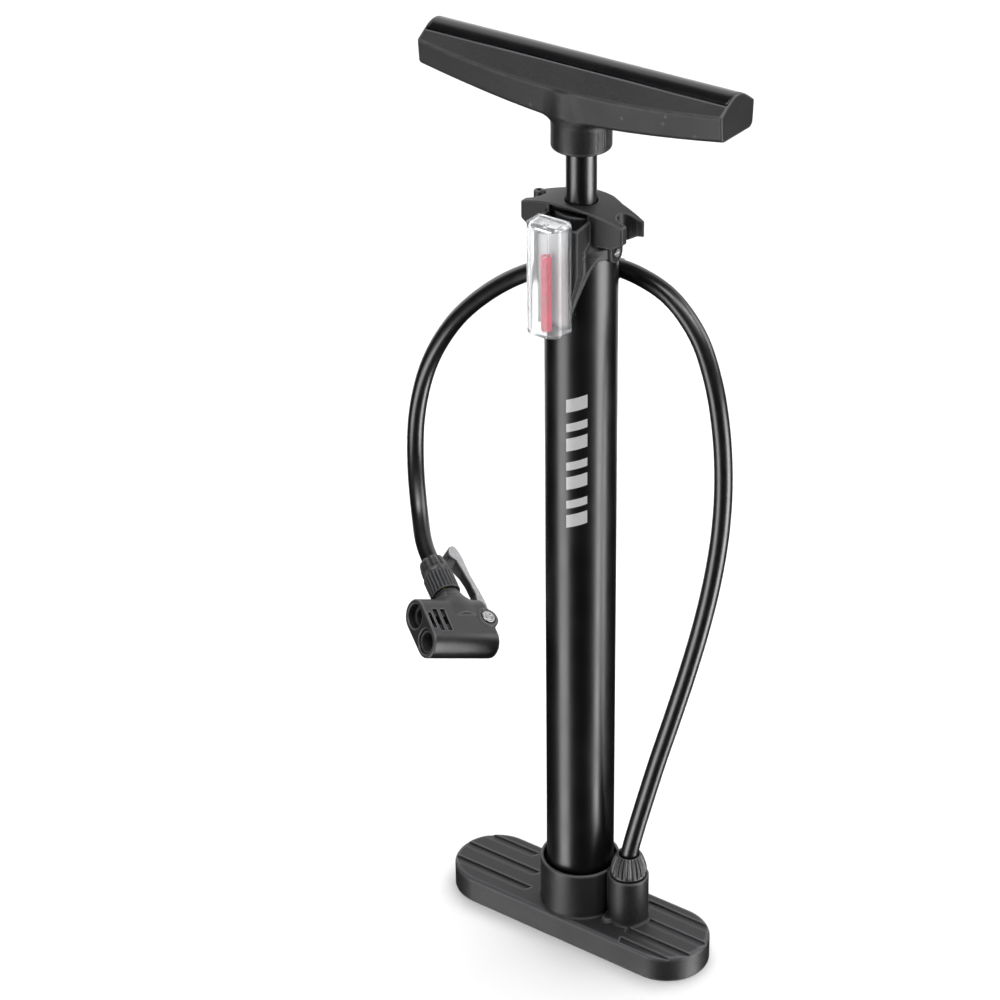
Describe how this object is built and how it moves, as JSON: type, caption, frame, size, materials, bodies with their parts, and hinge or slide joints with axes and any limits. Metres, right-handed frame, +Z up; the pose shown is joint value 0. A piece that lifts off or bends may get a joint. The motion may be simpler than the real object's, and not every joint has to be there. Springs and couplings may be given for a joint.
{
  "type": "floor bike pump",
  "caption": "Upright floor pump with a foot plate, barrel, side-to-side handle, clear pressure gauge, hose and lever-locked valve head.",
  "frame": {"origin": "on the floor, on the barrel's axis", "axes": "+Z up along the barrel, +X along the foot towards the hose boss, -Y towards the gauge"},
  "size_m": [0.241, 0.1042, 0.528],
  "materials": {
    "moulded_black": "fine-grained satin moulding",
    "head_black": "satin moulding",
    "gloss_black": "smooth gloss",
    "barrel_paint": "satin-gloss black enamel",
    "rod_black": "gloss black",
    "hose_rubber": "smooth gloss",
    "seal_rubber": "matt",
    "clear_plastic": "clear moulding",
    "red_plastic": "smooth",
    "silver_plastic": "silver-grey satin",
    "white_plastic": "natural white",
    "steel": "zinc-plated",
    "pin_chrome": "polished",
    "brass": "turned",
    "felt": "felt"
  },
  "bodies": {
    "root": {"foot_plate": "moulded_black", "rubber_foot_1": "seal_rubber", "rubber_foot_2": "seal_rubber", "rubber_foot_3": "seal_rubber", "rubber_foot_4": "seal_rubber", "barrel_tube": "barrel_paint", "barrel_gasket": "seal_rubber", "check_spring": "steel", "base_spigot": "brass", "base_hose_nut": "head_black", "hose": "hose_rubber", "top_cap": "moulded_black", "cap_gasket": "seal_rubber", "rod_bush": "white_plastic", "rod_wiper": "felt", "cap_screw_right": "steel", "cap_screw_left": "steel", "gauge_cover": "clear_plastic", "gauge_liner": "white_plastic", "gauge_spring": "steel", "head_body": "head_black", "head_seal_lower": "seal_rubber", "head_seal_upper": "seal_rubber", "head_barb": "brass", "head_nut": "head_black", "hose_collar": "head_black", "lever_pin": "pin_chrome"},
    "cup_seal": {"piston_cup": "seal_rubber"},
    "handle": {"piston_body": "white_plastic", "piston_washer": "steel", "piston_screw": "steel", "piston_rod": "rod_black", "rod_bumper": "seal_rubber", "handle_body": "moulded_black", "handle_strip": "gloss_black", "rod_insert": "steel", "handle_screw": "steel"},
    "indicator": {"gauge_indicator": "red_plastic"},
    "valve_ball": {"check_ball": "steel"},
    "thumb_lever": {"lever": "silver_plastic"},
    "plunger": {"head_plunger": "brass"}
  },
  "joints": [
    {"name": "pump_stroke", "type": "slide", "parent": "root", "child": "cup_seal", "axis": [0, 0, 1], "range_m": [-0.028, 0.355]},
    {"name": "handle_turn", "type": "hinge", "parent": "cup_seal", "child": "handle", "pos_m": [0, 0, 0], "axis": [0, 0, 1], "continuous": true},
    {"name": "gauge_rise", "type": "slide", "parent": "root", "child": "indicator", "axis": [0, 0, 1], "range_m": [0, 0.012], "stiffness_N_per_m": 60, "springref_m": -0.005, "deforming": ["gauge_spring"]},
    {"name": "valve_lift", "type": "slide", "parent": "root", "child": "valve_ball", "axis": [0, 0, 1], "range_m": [0, 0.0025], "stiffness_N_per_m": 60, "springref_m": -0.003, "deforming": ["check_spring"]},
    {"name": "lever_throw", "type": "hinge", "parent": "root", "child": "thumb_lever", "pos_m": [-0.06399, -0.00568, 0.17619], "axis": [-0.4959, -0.1135, -0.8609], "range_deg": [0, 90]},
    {"name": "plunger_squeeze", "type": "slide", "parent": "root", "child": "plunger", "axis": [-0.3671, -0.8711, 0.3263], "range_m": [0, 0.0015]}
  ],
  "couplings": [
    {"joint": "plunger_squeeze", "follows": "lever_throw", "m_per_rad": 0.00095}
  ]
}
